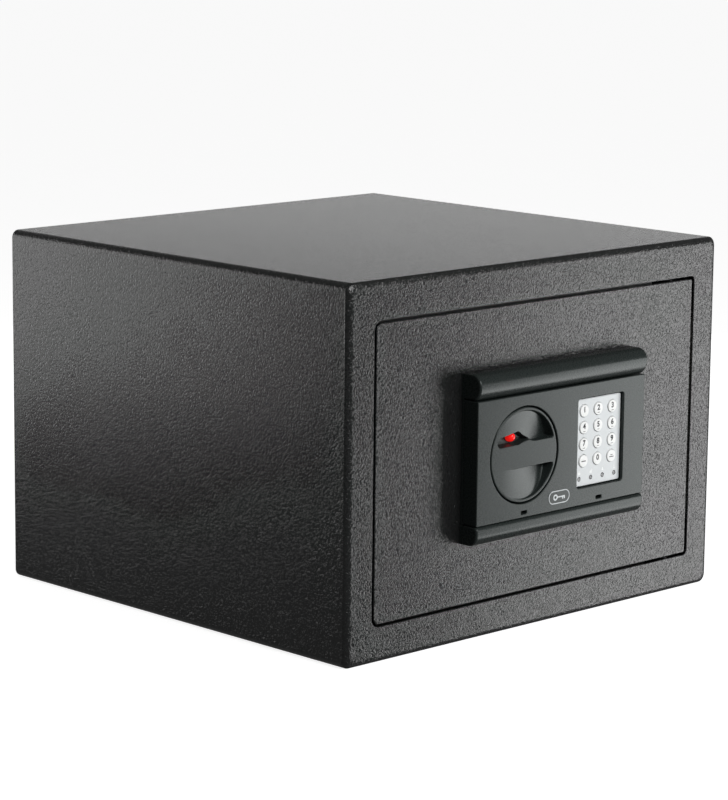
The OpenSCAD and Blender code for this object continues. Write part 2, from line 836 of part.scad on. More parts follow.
module battery_cover() {
    color([0.12, 0.12, 0.12]) {
        rod_x(cover_y + 0.9, box_z0 - 2, box_x0 + 6, box_x1 - 6, 0.8);
        slab(cover_y - 1.2, cover_y + 0.8)
            round_rect(box_x0 - 2, box_x1 + 2, box_z0 - 2, box_z1 + 2, 2, 2);
        for (i = [-2:2])
            box((box_x0 + box_x1) / 2 - 10, (box_x0 + box_x1) / 2 + 10, cover_y + 0.7,
                cover_y + 1.6, box_z1 - 8 + i * 2.2, box_z1 - 7 + i * 2.2);
    }
}

body_wrap();
front_frame();
back_panel();
lock_jamb();
door_stops();
hinge_brackets();
hinge_pins();
hinge_washer();
floor_mat();
door_plate();
hinge_lugs();
hinge_side_bar();
inner_cover();
cover_screws();
bolt_guide();
guide_posts();
solenoid_frame();
solenoid_coil();
control_board();
battery_box();
battery_contacts();
batteries();
lock_cable();
cable_grommet();
spindle_bush();
lock_housing();
housing_screws();
fascia();
keypad_plate();
key_mat();
keypad_board();
led_lenses();
badge();
knob();
knob_lens();
spindle();
cam_disc();
cam_screw();
drive_pin();
bolt_carrier();
bolt_upper();
bolt_lower();
plunger();
plunger_spring();
key_cap(0);  // key_1
key_cap(1);  // key_2
key_cap(2);  // key_3
key_cap(3);  // key_4
key_cap(4);  // key_5
key_cap(5);  // key_6
key_cap(6);  // key_7
key_cap(7);  // key_8
key_cap(8);  // key_9
key_cap(9);  // key_start
key_cap(10);  // key_0
key_cap(11);  // key_enter
reset_switch();
reset_button();
battery_cover();
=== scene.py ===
"""In-room safe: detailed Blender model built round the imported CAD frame.

Lengths in this file are millimetres in the CAD frame unless a name says otherwise; MM turns
them into metres. +Z is up, the door faces -Y and the hinges are at +X.
"""

import math

import bmesh
import bpy
import numpy as np
from mathutils import Matrix, Vector


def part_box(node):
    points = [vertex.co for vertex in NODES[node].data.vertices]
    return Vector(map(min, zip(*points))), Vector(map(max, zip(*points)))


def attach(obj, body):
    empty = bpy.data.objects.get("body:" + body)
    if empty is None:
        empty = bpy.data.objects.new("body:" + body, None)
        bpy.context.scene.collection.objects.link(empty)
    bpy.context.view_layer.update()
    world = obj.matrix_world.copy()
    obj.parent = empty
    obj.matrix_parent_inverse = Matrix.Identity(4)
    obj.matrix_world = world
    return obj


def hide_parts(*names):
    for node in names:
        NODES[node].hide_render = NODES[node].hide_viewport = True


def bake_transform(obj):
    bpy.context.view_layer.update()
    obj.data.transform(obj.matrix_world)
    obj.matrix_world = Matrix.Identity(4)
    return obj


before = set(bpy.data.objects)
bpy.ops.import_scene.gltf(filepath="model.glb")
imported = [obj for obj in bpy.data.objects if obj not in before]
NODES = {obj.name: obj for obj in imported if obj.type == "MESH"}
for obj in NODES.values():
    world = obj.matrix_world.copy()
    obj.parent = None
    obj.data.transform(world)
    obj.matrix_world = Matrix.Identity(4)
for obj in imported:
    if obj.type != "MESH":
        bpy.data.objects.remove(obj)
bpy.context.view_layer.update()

MM = 0.001
TAU = 2 * math.pi


def span(node):
    """A CAD node's lowest and highest corners, in millimetres."""
    low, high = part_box(node)
    return [v / MM for v in low], [v / MM for v in high]


# ---------------------------------------------------------------- mesh helpers

def add_object(name, data):
    obj = bpy.data.objects.new(name, data)
    bpy.context.scene.collection.objects.link(obj)
    return obj


def mesh_object(name, verts, faces, smooth=True):
    """A mesh object from millimetre vertices."""
    mesh = bpy.data.meshes.new(name)
    mesh.from_pydata([tuple(c * MM for c in v) for v in verts], [], faces)
    mesh.validate()
    mesh.polygons.foreach_set("use_smooth", [smooth] * len(mesh.polygons))
    mesh.update()
    return add_object(name, mesh)


def even_normals(obj):
    """Keeps large flat faces flat beside small rounded edges."""
    mod = obj.modifiers.new("even_normals", "WEIGHTED_NORMAL")
    mod.mode = "FACE_AREA"
    mod.weight = 100
    mod.keep_sharp = True
    return obj


def soften(node, width=0.4, segments=2, angle=35):
    """Rounds a carried CAD node's edges a little, without touching its mesh."""
    obj = NODES[node]
    for poly in obj.data.polygons:
        poly.use_smooth = True
    weld = obj.modifiers.new("weld", "WELD")
    weld.merge_threshold = 1e-6
    flat = obj.modifiers.new("flat", "DECIMATE")
    flat.decimate_type = "DISSOLVE"
    flat.angle_limit = math.radians(0.5)
    bevel = obj.modifiers.new("bevel", "BEVEL")
    bevel.width = width * MM
    bevel.segments = segments
    bevel.limit_method = "ANGLE"
    bevel.angle_limit = math.radians(angle)
    bevel.use_clamp_overlap = True
    even_normals(obj)


def shade(node, angle=30):
    """Smooth shading over a carried CAD node's curves, with its real corners left sharp."""
    obj = NODES[node]
    for poly in obj.data.polygons:
        poly.use_smooth = True
    weld = obj.modifiers.new("weld", "WELD")
    weld.merge_threshold = 1e-6
    split = obj.modifiers.new("split", "EDGE_SPLIT")
    split.split_angle = math.radians(angle)


def corner_ring(x0, x1, z0, z1, radii, steps=6):
    """Points round a rectangle in X and Z with radii (low-left, low-right, top-right, top-left)."""
    corners = [(x0, z0, 1, 1, 180), (x1, z0, -1, 1, 270), (x1, z1, -1, -1, 0), (x0, z1, 1, -1, 90)]
    points = []
    for (cx, cz, sx, sz, start), r in zip(corners, radii):
        for i in range(steps + 1):
            a = math.radians(start + 90 * i / steps)
            points.append((cx + sx * r + r * math.cos(a), cz + sz * r + r * math.sin(a)))
    return points


def loft(name, rings, closed=False):
    """Skins equal-length rings of 3-D points; closed joins the last to the first, without caps."""
    count = len(rings[0])
    verts = [p for ring in rings for p in ring]
    faces = []
    last = len(rings) if closed else len(rings) - 1
    for i in range(last):
        a, b = i * count, (i + 1) % len(rings) * count
        for j in range(count):
            k = (j + 1) % count
            faces.append((a + j, a + k, b + k, b + j))
    if not closed:
        faces.append(tuple(range(count - 1, -1, -1)))
        faces.append(tuple((len(rings) - 1) * count + j for j in range(count)))
    return mesh_object(name, verts, faces)


def recalc(obj):
    """Turns every face of a closed mesh outwards."""
    bm = bmesh.new()
    bm.from_mesh(obj.data)
    bmesh.ops.recalc_face_normals(bm, faces=bm.faces)
    bm.to_mesh(obj.data)
    bm.free()
    return obj


def join(name, objects):
    """One mesh object from several, keeping their materials."""
    with bpy.context.temp_override(active_object=objects[0], object=objects[0],
                                   selected_objects=objects, selected_editable_objects=objects):
        bpy.ops.object.join()
    objects[0].name = name
    objects[0].data.name = name
    return objects[0]


def lathe(name, profile, centre, axis="-Y", steps=48):
    """Turns (radius, distance along the axis) points round an axis through centre."""
    frames = {"-Y": ((1, 0, 0), (0, 0, 1), (0, -1, 0)), "+Y": ((1, 0, 0), (0, 0, -1), (0, 1, 0)),
              "+Z": ((1, 0, 0), (0, 1, 0), (0, 0, 1)), "-X": ((0, 1, 0), (0, 0, -1), (-1, 0, 0))}
    u, v, w = (Vector(a) for a in frames[axis])
    rings = []
    for r, d in profile:
        ring = []
        for j in range(steps):
            a = TAU * j / steps
            p = Vector(centre) + u * (r * math.cos(a)) + v * (r * math.sin(a)) + w * d
            ring.append(tuple(p))
        rings.append(ring)
    return recalc(loft(name, rings))


def evaluated_mesh(obj):
    """The mesh of an object with its modifiers, or its curve, worked out."""
    ready = obj.evaluated_get(bpy.context.evaluated_depsgraph_get())
    return bpy.data.meshes.new_from_object(ready)


def upright_mesh(name, curve):
    """The mesh of a filled curve, stood up to face -Y."""
    temp = add_object(name + "_outline", curve)
    mesh = evaluated_mesh(temp)
    bpy.data.objects.remove(temp)
    mesh.name = name
    mesh.transform(Matrix.Rotation(math.pi / 2, 4, "X"))
    return mesh


def plate(name, outline, holes, y0, y1, edge=0.4, steps=3):
    """A flat plate in X and Z from y0 to y1 with holes, and all its edges rounded by edge."""
    curve = bpy.data.curves.new(name, "CURVE")
    curve.dimensions = "2D"
    curve.fill_mode = "BOTH"
    for points in [outline, *holes]:
        spline = curve.splines.new("POLY")
        spline.points.add(len(points) - 1)
        for p, (x, z) in zip(spline.points, points):
            p.co = (x * MM, z * MM, 0, 1)
        spline.use_cyclic_u = True
    curve.extrude = max((y1 - y0) / 2 - edge, 0) * MM
    curve.bevel_depth = edge * MM
    curve.bevel_resolution = steps
    curve.offset = -edge * MM
    mesh = upright_mesh(name, curve)
    mesh.transform(Matrix.Translation((0, (y0 + y1) / 2 * MM, 0)))
    mesh.polygons.foreach_set("use_smooth", [True] * len(mesh.polygons))
    obj = add_object(name, mesh)
    weld = obj.modifiers.new("weld", "WELD")
    weld.merge_threshold = 1e-6
    return even_normals(obj)


def circle(cx, cz, r, steps=72):
    return [(cx + r * math.cos(TAU * i / steps), cz + r * math.sin(TAU * i / steps))
            for i in range(steps)]


def rectangle(x0, x1, z0, z1, r=1.0, steps=5):
    return corner_ring(x0, x1, z0, z1, (r, r, r, r), steps)


def printed(name, outline, y, thick=0.05, holes=()):
    """A thin printed mark whose back lies at y."""
    return plate(name, outline, holes, y - thick, y, 0.01, 1)


FIGURE_DEPTH = 0.06
FIGURE_EXTRUDE = 0.02


def lettering(name, text, size, x, y, z):
    """Generic figures as raised print on a surface at y, facing -Y. The bevel makes the strokes
    bolder, and the figure is then flattened until FIGURE_DEPTH of it stands out."""
    swell = 0.036 * size
    curve = bpy.data.curves.new(name, "FONT")
    curve.body = text
    curve.size = size * MM
    curve.align_x = "CENTER"
    curve.align_y = "CENTER"
    curve.extrude = FIGURE_EXTRUDE * MM
    curve.bevel_depth = swell * MM
    curve.bevel_resolution = 1
    mesh = upright_mesh(name, curve)
    mesh.transform(Matrix.Scale(FIGURE_DEPTH / (FIGURE_EXTRUDE + swell), 4, (0, 1, 0)))
    mesh.transform(Matrix.Translation((x * MM, (y - 0.01) * MM, z * MM)))
    return add_object(name, mesh)


# ---------------------------------------------------------------- materials

def new_material(name, **values):
    """A material with plain numbers set straight on its shader's sockets."""
    mat = bpy.data.materials.new(name)
    mat.use_nodes = True
    shader = mat.node_tree.nodes["Principled BSDF"]
    for key, value in values.items():
        socket = shader.inputs[key.replace("_", " ")]
        is_colour = isinstance(value, tuple) and len(value) == 3
        socket.default_value = (*value, 1) if is_colour else value
    return mat


def node(mat, kind, **settings):
    made = mat.node_tree.nodes.new(kind)
    for key, value in settings.items():
        if key in made.inputs:
            made.inputs[key].default_value = value
        else:
            setattr(made, key, value)
    return made


def link(mat, source, target):
    mat.node_tree.links.new(source, target)


def shader_of(mat):
    return mat.node_tree.nodes["Principled BSDF"]


def coordinates(mat, scale=(1, 1, 1)):
    """Object coordinates, stretched where a grain has a direction."""
    place = node(mat, "ShaderNodeTexCoord")
    stretch = node(mat, "ShaderNodeMapping")
    stretch.inputs["Scale"].default_value = scale
    link(mat, place.outputs["Object"], stretch.inputs["Vector"])
    return stretch.outputs["Vector"]


def noise(mat, vector, scale, detail=2.0, rough=0.5, distortion=0.0):
    made = node(mat, "ShaderNodeTexNoise", Scale=scale, Detail=detail, Roughness=rough,
                Distortion=distortion)
    link(mat, vector, made.inputs["Vector"])
    return made.outputs["Fac"]


def ramp(mat, source, stops, interpolation="LINEAR"):
    """Maps a value through stops of (position, grey or colour)."""
    made = node(mat, "ShaderNodeValToRGB")
    made.color_ramp.interpolation = interpolation
    while len(made.color_ramp.elements) < len(stops):
        made.color_ramp.elements.new(0.5)
    for element, (position, colour) in zip(made.color_ramp.elements, stops):
        element.position = position
        element.color = (colour,) * 3 + (1,) if isinstance(colour, (int, float)) else (*colour, 1)
    link(mat, source, made.inputs["Fac"])
    return made.outputs["Color"]


def bump(mat, height, strength, distance, under=None):
    made = node(mat, "ShaderNodeBump", Strength=strength, Distance=distance)
    link(mat, height, made.inputs["Height"])
    if under is not None:
        link(mat, under, made.inputs["Normal"])
    return made.outputs["Normal"]


def mix(mat, factor, a, b):
    made = node(mat, "ShaderNodeMix", data_type="RGBA")
    link(mat, factor, made.inputs[0])
    for socket, value in ((made.inputs[6], a), (made.inputs[7], b)):
        if isinstance(value, tuple):
            socket.default_value = (*value, 1)
        else:
            link(mat, value, socket)
    return made.outputs[2]


def textured_paint(name, colour, strength):
    """Black powder coat: a glossy skin over short wavy ridges about 2 mm apart."""
    mat = new_material(name)
    shader = shader_of(mat)
    place = coordinates(mat)
    ridges = noise(mat, place, 500, 1.0, 0.4, 0.8)
    worms = ramp(mat, ridges, [(0.32, 0.0), (0.46, 0.7), (0.55, 1.0), (0.70, 0.4)], "EASE")
    grain = noise(mat, place, 2600, 2.0, 0.6)
    patches = noise(mat, place, 9, 3.0, 0.55)
    fine = bump(mat, grain, 0.08, 0.0001)
    link(mat, bump(mat, worms, strength, 0.00030, fine), shader.inputs["Normal"])
    # Ridge tops lighter and hollows darker: painted highlight and shade following the bumps.
    ridge_shading = mix(mat, ramp(mat, ridges, [(0.35, 0.0), (0.65, 1.0)]),
               tuple(c * 0.8 for c in colour), tuple(c * 1.3 for c in colour))
    link(mat, mix(mat, ramp(mat, patches, [(0.4, 0.0), (0.7, 0.25)]), ridge_shading,
                  tuple(c * 1.5 for c in colour)), shader.inputs["Base Color"])
    link(mat, ramp(mat, grain, [(0.3, 0.14), (0.7, 0.19)]), shader.inputs["Roughness"])
    return mat


def satin_paint(name, colour=(0.03, 0.03, 0.031), rough=0.42):
    mat = new_material(name)
    shader = shader_of(mat)
    place = coordinates(mat)
    peel = noise(mat, place, 700, 2.0, 0.5)
    patches = noise(mat, place, 25, 3.0, 0.6)
    link(mat, bump(mat, peel, 0.2, 0.0001), shader.inputs["Normal"])
    link(mat, mix(mat, patches, colour, tuple(c * 1.35 for c in colour)),
         shader.inputs["Base Color"])
    link(mat, ramp(mat, patches, [(0.3, rough - 0.05), (0.7, rough + 0.08)]),
         shader.inputs["Roughness"])
    return mat


def moulded(name, colour, rough=0.35, grain_size=1800, grain=0.12, tint=1.25, **values):
    """Moulded plastic with a fine spark-eroded grain and faint flow patches."""
    mat = new_material(name, **values)
    shader = shader_of(mat)
    place = coordinates(mat)
    pits = noise(mat, place, grain_size, 2.0, 0.6)
    flow = noise(mat, place, 30, 2.0, 0.5, 0.8)
    link(mat, bump(mat, pits, grain, 0.00006), shader.inputs["Normal"])
    link(mat, mix(mat, flow, colour, tuple(min(c * tint, 1.0) for c in colour)),
         shader.inputs["Base Color"])
    link(mat, ramp(mat, pits, [(0.3, rough - 0.04), (0.7, rough + 0.05)]),
         shader.inputs["Roughness"])
    return mat


def metal(name, colour, rough, stretch=(1, 1, 1), grain=400, spangle=0.0):
    """Plated or turned metal: a drawn grain, small scratches and uneven gloss."""
    mat = new_material(name, Metallic=1.0)
    shader = shader_of(mat)
    drawn = noise(mat, coordinates(mat, stretch), grain, 4.0, 0.65)
    clouds = noise(mat, coordinates(mat), 60, 3.0, 0.6)
    link(mat, bump(mat, drawn, 0.12, 0.00005), shader.inputs["Normal"])
    dull = tuple(c * (0.82 - spangle) for c in colour)
    link(mat, mix(mat, clouds, dull, colour), shader.inputs["Base Color"])
    link(mat, ramp(mat, drawn, [(0.3, rough - 0.07), (0.7, rough + 0.1)]),
         shader.inputs["Roughness"])
    return mat


def felt(name):
    mat = new_material(name, Roughness=0.95, Sheen_Weight=0.35, Sheen_Roughness=0.5)
    shader = shader_of(mat)
    place = coordinates(mat)
    fibres = noise(mat, place, 900, 5.0, 0.75, 1.5)
    tufts = noise(mat, place, 140, 3.0, 0.6)
    colour = mix(mat, ramp(mat, fibres, [(0.35, 0.0), (0.65, 1.0)]), (0.035, 0.036, 0.04),
                 (0.11, 0.11, 0.115))
    link(mat, mix(mat, ramp(mat, tufts, [(0.45, 0.0), (0.7, 0.4)]), colour,
                  (0.05, 0.05, 0.055)),
         shader.inputs["Base Color"])
    link(mat, bump(mat, fibres, 0.5, 0.0004), shader.inputs["Normal"])
    return mat


def circuit_board(name):
    mat = new_material(name, Roughness=0.35)
    shader = shader_of(mat)
    place = coordinates(mat)
    tracks = node(mat, "ShaderNodeTexBrick", Scale=120.0)
    tracks.inputs["Mortar Size"].default_value = 0.03
    tracks.inputs["Color1"].default_value = (0.01, 0.10, 0.035, 1)
    tracks.inputs["Color2"].default_value = (0.012, 0.13, 0.045, 1)
    tracks.inputs["Mortar"].default_value = (0.02, 0.22, 0.09, 1)
    link(mat, place, tracks.inputs["Vector"])
    dirt = noise(mat, place, 80, 2.0)
    link(mat, mix(mat, ramp(mat, dirt, [(0.4, 0.0), (0.8, 0.5)]), tracks.outputs["Color"],
                  (0.01, 0.06, 0.02)), shader.inputs["Base Color"])
    link(mat, bump(mat, tracks.outputs["Fac"], 0.3, 0.00005), shader.inputs["Normal"])
    return mat


def banded(name, low, high, at, width, rough=0.3):
    """A sleeve whose colour changes along its length."""
    mat = new_material(name, Roughness=rough, Coat_Weight=0.3)
    shader = shader_of(mat)
    place = node(mat, "ShaderNodeTexCoord")
    split = node(mat, "ShaderNodeSeparateXYZ")
    link(mat, place.outputs["Object"], split.inputs[0])
    step = node(mat, "ShaderNodeMapRange")
    step.inputs["From Min"].default_value = (at - width) * MM
    step.inputs["From Max"].default_value = (at + width) * MM
    link(mat, split.outputs["Z"], step.inputs["Value"])
    wear = noise(mat, place.outputs["Object"], 300, 3.0)
    both = mix(mat, step.outputs["Result"], low, high)
    link(mat, mix(mat, ramp(mat, wear, [(0.5, 0.0), (0.8, 0.3)]), both, (0.08, 0.08, 0.08)),
         shader.inputs["Base Color"])
    return mat


PAINT = textured_paint("textured_black_paint", (0.0115, 0.012, 0.012), 0.5)
SATIN = satin_paint("satin_black_paint")
BLACK = moulded("satin_black_moulding", (0.0145, 0.0185, 0.0175), 0.27, 1500, 0.08,
                Specular_IOR_Level=0.33, Specular_Tint=(0.93, 1.0, 0.985))
INNER_PLASTIC = moulded("black_plastic", (0.03, 0.03, 0.031), 0.5, 1200, 0.25)
ZINC = metal("zinc_plated_steel", (0.62, 0.61, 0.56), 0.34, (1, 1, 6), 260, 0.12)
BRIGHT = metal("bright_steel", (0.74, 0.74, 0.75), 0.2, (12, 1, 1), 160)
BRASS = metal("turned_brass", (0.50, 0.34, 0.15), 0.4, (1, 14, 1), 150)
OILED = metal("oiled_steel", (0.10, 0.10, 0.105), 0.42, (1, 1, 8), 300)
FELT = felt("grey_felt")
TAPE = moulded("coil_tape", (0.42, 0.21, 0.03), 0.3, 900, 0.15)
BOARD = circuit_board("circuit_board")
RUBBER = moulded("black_rubber", (0.018, 0.018, 0.018), 0.75, 900, 0.3)
CABLE = moulded("grey_cable", (0.30, 0.30, 0.31), 0.5, 900, 0.15)
SILVER = moulded("silver_print", (0.61, 0.64, 0.65), 0.36, 2400, 0.05, 1.05)
KEY_WHITE = moulded("white_key_plastic", (0.82, 0.83, 0.82), 0.34, 1600, 0.06, 1.03)
KEY_PRINT = moulded("key_print", (0.012, 0.012, 0.016), 0.6, 1500, 0.05, Specular_IOR_Level=0.2)
FAINT_PRINT = moulded("faint_print", (0.86, 0.88, 0.88), 0.5, 1500, 0.05, 1.02)
LED = moulded("smoked_lens", (0.02, 0.021, 0.022), 0.18, 700, 0.03, Coat_Weight=0.5)
# The red lens's emission is a painted glow standing in for the light it catches; the lens is no lamp.
RED_LENS = moulded("red_lens", (0.80, 0.004, 0.004), 0.12, 500, 0.02, 1.1,
                   Emission_Color=(1.0, 0.015, 0.01), Emission_Strength=0.55, Coat_Weight=0.3)
RED = moulded("red_plastic", (0.45, 0.015, 0.012), 0.3, 1200, 0.08)
# Near-black painted shade for the floors deep in the fascia's slots.
SLOT_SHADE = moulded("gap_shadow", (0.004, 0.004, 0.004), 0.8, 900, 0.1)
SLEEVE = banded("cell_jacket", (0.025, 0.045, 0.06), (0.48, 0.30, 0.12), 140, 0.3)


def finish_piece(obj, mat, body, slot_name, *stands_for):
    """Gives a new piece its material, the body it rides on and the CAD nodes it stands for."""
    obj.data.materials.clear()
    obj.data.materials.append(mat)
    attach(obj, body)
    if stands_for:
        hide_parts(*stands_for)
    return obj


def dress(mat, *names):
    """Puts a material on carried CAD nodes."""
    for name in names:
        obj = NODES[name]
        obj.data.materials.clear()
        obj.data.materials.append(mat)


# ---------------------------------------------------------------- positions from the frame

(frame_x0, front_y, frame_z0), (frame_x1, frame_back, frame_z1) = span("front_frame")
(door_x0, _, door_z0), (door_x1, door_back, door_z1) = span("door_plate")
(unit_x0, _, unit_z0), (unit_x1, _, unit_z1) = span("lock_housing")
(_, fascia_y, fascia_z0), (_, _, fascia_z1) = span("fascia")
(knob_x0, knob_y, knob_z0), (knob_x1, knob_back, knob_z1) = span("knob")
knob_x = (knob_x0 + knob_x1) / 2
knob_z = (knob_z0 + knob_z1) / 2
knob_r = (knob_x1 - knob_x0) / 2
(pad_x0, pad_y, pad_z0), (pad_x1, _, pad_z1) = span("keypad_plate")
DOOR_GAP = 2.0
HINGE_GAP = 2.5


# ---------------------------------------------------------------- cabinet

def build_front_frame():
    """The cabinet's face: a rounded outer edge and a softly broken edge round the opening."""
    outer_r, inner_r, edge = 6.0, 0.6, 5.5
    deep = frame_back - front_y
    open_x0, open_x1 = door_x0 - DOOR_GAP, door_x1 + HINGE_GAP
    open_z0, open_z1 = door_z0 - DOOR_GAP, door_z1 + DOOR_GAP
    rings = []

    def outer(inset, y):
        ring = corner_ring(frame_x0 + inset, frame_x1 - inset, frame_z0 + inset, frame_z1 - inset,
                           (outer_r,) * 4)
        rings.append([(x, y, z) for x, z in ring])

    def inner(outset, y):
        ring = corner_ring(open_x0 - outset, open_x1 + outset, open_z0 - outset, open_z1 + outset,
                           (7 + outset, 3.5 + outset, 3.5 + outset, 7 + outset))
        rings.append([(x, y, z) for x, z in ring])

    outer(0, frame_back)
    for i in range(1, 13):
        a = math.radians(90 * i / 12)
        outer(edge * (1 - math.cos(a)), front_y + deep * (1 - math.sin(a)))
    for i in range(5):
        a = math.radians(90 * i / 4)
        inner(inner_r * (1 - math.sin(a)), front_y + inner_r * (1 - math.cos(a)))
    inner(0, frame_back)
    obj = recalc(loft("cabinet_face", rings, closed=True))
    return finish_piece(even_normals(obj), PAINT, "cabinet", "textured_black_paint", "front_frame")


def build_door_panel():
    """The door's outer plate, with its edges slightly broken."""
    edge = 0.7
    rings = []
    for inset, y in [(0.4, door_back), (0, door_back - 0.4)] + [
            (edge * (1 - math.cos(math.radians(a))),
             front_y + edge * (1 - math.sin(math.radians(a))))
            for a in (0, 22.5, 45, 67.5, 90)]:
        ring = corner_ring(door_x0 + inset, door_x1 - inset, door_z0 + inset, door_z1 - inset,
                           (5 - inset, 2 - inset, 2 - inset, 5 - inset))
        rings.append([(x, y, z) for x, z in ring])
    obj = recalc(loft("door_panel", rings))
    return finish_piece(even_normals(obj), PAINT, "door", "textured_black_paint", "door_plate")


ANCHOR_R, ANCHOR_X, ANCHOR_Y = 12, 100, 30


def build_mat():
    """Needled felt on the cabinet floor: soft edges, a slightly uneven top, holes for the anchors."""
    (x0, y0, z0), (x1, y1, z1) = span("floor_mat")
    nx, ny = 98, 89
    rng = np.random.default_rng(7)
    waves = rng.uniform(0, TAU, 6)
    xs, ys = np.linspace(x0 + 1, x1 - 1, nx), np.linspace(y0 + 1, y1 - 1, ny)

    def height(x, y):
        edge = min(x - x0, x1 - x, y - y0, y1 - y)
        crown = 1 - math.exp(-edge / 2.0)
        ripple = (math.sin(x / 31 + waves[0]) * math.sin(y / 27 + waves[1])
                  + 0.5 * math.sin(x / 13 + y / 17 + waves[2]))
        return z0 + (z1 - z0) * (0.72 + 0.16 * crown) + 0.18 * ripple * crown

    verts, faces = [], []
    for y in ys:
        for x in xs:
            verts.append((x, y, height(x, y)))
    for j in range(ny - 1):
        for i in range(nx - 1):
            a = j * nx + i
            faces.append((a, a + 1, a + nx + 1, a + nx))
    rim = (list(range(nx)) + [j * nx + nx - 1 for j in range(1, ny)]
           + [(ny - 1) * nx + j for j in range(nx - 2, -1, -1)]
           + [j * nx for j in range(ny - 2, 0, -1)])
    mid, low = len(verts), len(verts) + len(rim)
    for level, out in (((z0 + z1) / 2, 1.0), (z0 + 0.02, 0.6)):
        for k in rim:
            x, y, _ = verts[k]
            sx = -1 if x < x0 + 1.5 else (1 if x > x1 - 1.5 else 0)
            sy = -1 if y < y0 + 1.5 else (1 if y > y1 - 1.5 else 0)
            verts.append((x + sx * out, y + sy * out, level))
    for k in range(len(rim)):
        n = (k + 1) % len(rim)
        faces.append((rim[k], mid + k, mid + n, rim[n]))
        faces.append((mid + k, low + k, low + n, mid + n))
    faces.append(tuple(low + k for k in range(len(rim))))
    obj = recalc(mesh_object("felt_mat", verts, faces))
    cutters = [lathe("hole", [(ANCHOR_R, -4), (ANCHOR_R, 12)], (x, ANCHOR_Y, 0), "+Z")
               for x in (-ANCHOR_X, ANCHOR_X)]
    cut(obj, join("hole_cutter", cutters))
    finish_piece(obj, FELT, "cabinet", "grey_felt", "floor_mat")


def cut(obj, cutter):
    """Takes the cutter's solid out of obj for good."""
    mod = obj.modifiers.new("cut", "BOOLEAN")
    mod.operation = "DIFFERENCE"
    mod.solver = "EXACT"
    mod.object = cutter
    bpy.context.view_layer.update()
    done = evaluated_mesh(obj)
    obj.modifiers.clear()
    obj.data = done
    bpy.data.objects.remove(cutter)


# ---------------------------------------------------------------- lock unit

def arc_points(cy, cz, r, start, end, steps):
    return [(cy + r * math.cos(math.radians(start + (end - start) * i / steps)),
             cz + r * math.sin(math.radians(start + (end - start) * i / steps)))
            for i in range(steps + 1)]


def inset_profile(points, amount):
    """Moves a profile's points inwards along their normals, but leaves its wall side alone."""
    count = len(points)
    out = []
    for i, (y, z) in enumerate(points):
        (ya, za), (yb, zb) = points[i - 1], points[(i + 1) % count]
        ty, tz = yb - ya, zb - za
        size = math.hypot(ty, tz) or 1
        ny, nz = tz / size, -ty / size
        on_wall = y > front_y - 0.01
        out.append((y if on_wall else min(y - ny * amount, front_y), z - nz * amount))
    return out


def roll(name, profile, x0, x1, end_r=1.6):
    """A moulding of one profile along X whose two ends are rounded over."""
    rings = []
    for s, x_end in ((1, x0), (-1, x1)):
        part = []
        for i in range(7):
            a = math.radians(90 * i / 6)
            inset = end_r * (1 - math.sin(a))
            x = x_end + s * end_r * (1 - math.cos(a))
            part.append([(x, y, z) for y, z in inset_profile(profile, inset)])
        rings += part if s == 1 else part[::-1]
    return even_normals(recalc(loft(name, rings)))


def build_housing():
    """The unit's body: a fat roll along the top, a slim one below and a back between them."""
    top = [(front_y, unit_z1)]
    top += arc_points(front_y - 10, unit_z1 - 9, 9, 90, 180, 14)
    top += arc_points(front_y - 6, unit_z1 - 9, 13, 184, 231, 10)
    top += [(front_y, fascia_z1 + 0.4)]
    low = [(front_y, fascia_z0 - 0.4)]
    low += arc_points(front_y - 14, unit_z0 + 11.8, 3.2, 90, 180, 8)
    low += arc_points(front_y - 8.2, unit_z0 + 9, 9, 180, 270, 14)
    low += [(front_y, unit_z0)]
    parts = [roll("top_roll", top, unit_x0, unit_x1), roll("low_roll", low, unit_x0, unit_x1)]
    for part in parts:
        finish_piece(part, BLACK, "door", "satin_black_moulding")
    back = plate("unit_back", rectangle(unit_x0 + 0.3, unit_x1 - 0.3, unit_z0 + 9, unit_z1 - 9, 1),
                 [], front_y - 2, front_y, 0.3)
    finish_piece(back, BLACK, "door", "satin_black_moulding", "lock_housing")


def build_fascia():
    """The flat front of the unit, with the knob's hole, the keypad's window and two slots."""
    x0, x1 = unit_x0 + 0.2, unit_x1 - 0.2
    window = rectangle(pad_x0 - 1.6, pad_x1 + 0.9, pad_z0 - 0.9, pad_z1 + 0.9, 2.2)
    slot_xs = (knob_x + 0.5, (pad_x0 + pad_x1) / 2 - 1.2)
    slots = [rectangle(x - 3, x + 3, fascia_z0 + 2.6, fascia_z0 + 5, 0.7) for x in slot_xs]
    face = plate("unit_fascia", rectangle(x0, x1, fascia_z0, fascia_z1, 1.0),
                 [circle(knob_x, knob_z, knob_r + 0.95, 120), window, *slots],
                 fascia_y, front_y - 2.2, 0.7, 4)
    finish_piece(face, BLACK, "door", "satin_black_moulding", "fascia")
    # The slot floors are near-black: painted shade deep inside the slots.
    floors = [plate("slot_floor_%d" % i,
                    rectangle(x - 3.6, x + 3.6, fascia_z0 + 2, fascia_z0 + 5.6, 0.7),
                    [], fascia_y + 7, fascia_y + 7.6, 0.1) for i, x in enumerate(slot_xs)]
    for floor_piece in floors:
        finish_piece(floor_piece, SLOT_SHADE, "door", "satin_black_moulding")


def smooth_min(a, b, k):
    h = np.clip(0.5 + 0.5 * (b - a) / k, 0, 1)
    return b * (1 - h) + a * h - k * h * (1 - h)


def smooth_max(a, b, k):
    return -smooth_min(-a, -b, k)


def capsule_distance(u, w, a, b, ra, rb):
    """Distance inside a shape that swells from ra at point a to rb at point b (positive inside)."""
    du, dw = b[0] - a[0], b[1] - a[1]
    t = np.clip(((u - a[0]) * du + (w - a[1]) * dw) / (du * du + dw * dw), 0, 1)
    gap = np.hypot(u - a[0] - t * du, w - a[1] - t * dw)
    return ra + (rb - ra) * t - gap


